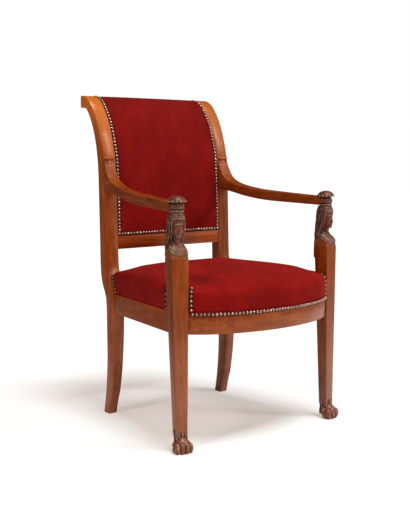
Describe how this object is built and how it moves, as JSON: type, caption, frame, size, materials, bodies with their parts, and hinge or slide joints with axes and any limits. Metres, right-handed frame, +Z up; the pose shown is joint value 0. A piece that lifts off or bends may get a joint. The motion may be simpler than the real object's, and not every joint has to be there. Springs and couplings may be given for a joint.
{
  "type": "upholstered armchair",
  "caption": "Open armchair with a rolled-back stuffed back, stuffed bow-fronted seat, scrolled arms on carved busts, straight front legs on paw feet and swept rear legs.",
  "frame": {"origin": "on the floor, under the middle of the chair's bounding box", "axes": "+Z up, the chair faces -Y, +X across it; the left-hand nodes are on the -X side, as seen by someone standing in front of it"},
  "size_m": [0.5842, 0.6348, 0.9337],
  "materials": {
    "mahogany": "polished mahogany with a warm red-brown shine",
    "carved_wood": "dark, waxed carved wood with rubbed high places",
    "inner_wood": "bare beech, unpolished, hidden in the finished chair",
    "jute_webbing": "woven jute webbing",
    "hessian": "open-weave hessian",
    "horsehair": "curled horsehair stuffing",
    "velvet": "deep red cotton velvet, held with close brass-headed nails"
  },
  "bodies": {
    "root": {"rear_post_right": "mahogany", "rear_post_left": "mahogany", "front_leg_right": "mahogany", "front_leg_left": "mahogany", "arm_right": "mahogany", "arm_left": "mahogany", "arm_fillet_right": "mahogany", "arm_fillet_left": "mahogany", "front_seat_rail": "mahogany", "side_seat_rail_right": "mahogany", "side_seat_rail_left": "mahogany", "back_seat_rail": "mahogany", "lower_back_rail": "mahogany", "paw_foot_right": "carved_wood", "paw_foot_left": "carved_wood", "leg_bust_right": "carved_wood", "leg_bust_left": "carved_wood", "arm_cap_right": "carved_wood", "arm_cap_left": "carved_wood", "top_back_rail": "inner_wood", "rear_corner_block_right": "inner_wood", "rear_corner_block_left": "inner_wood", "front_corner_block_right": "inner_wood", "front_corner_block_left": "inner_wood", "foot_dowel_right": "inner_wood", "foot_dowel_left": "inner_wood", "bust_dowel_right": "inner_wood", "bust_dowel_left": "inner_wood", "cap_dowel_right": "inner_wood", "cap_dowel_left": "inner_wood", "arm_dowel_right": "inner_wood", "arm_dowel_left": "inner_wood", "seat_strap_long_1": "jute_webbing", "seat_strap_long_2": "jute_webbing", "seat_strap_long_3": "jute_webbing", "seat_strap_long_4": "jute_webbing", "seat_strap_cross_1": "jute_webbing", "seat_strap_cross_2": "jute_webbing", "seat_strap_cross_3": "jute_webbing", "back_strap_upright_1": "jute_webbing", "back_strap_upright_2": "jute_webbing", "back_strap_cross_1": "jute_webbing", "back_strap_cross_2": "jute_webbing", "back_strap_cross_3": "jute_webbing", "seat_hessian": "hessian", "back_hessian": "hessian", "seat_stuffing": "horsehair", "back_stuffing": "horsehair", "seat_cover": "velvet", "back_cover": "velvet", "back_outer_cover": "velvet"}
  },
  "joints": []
}
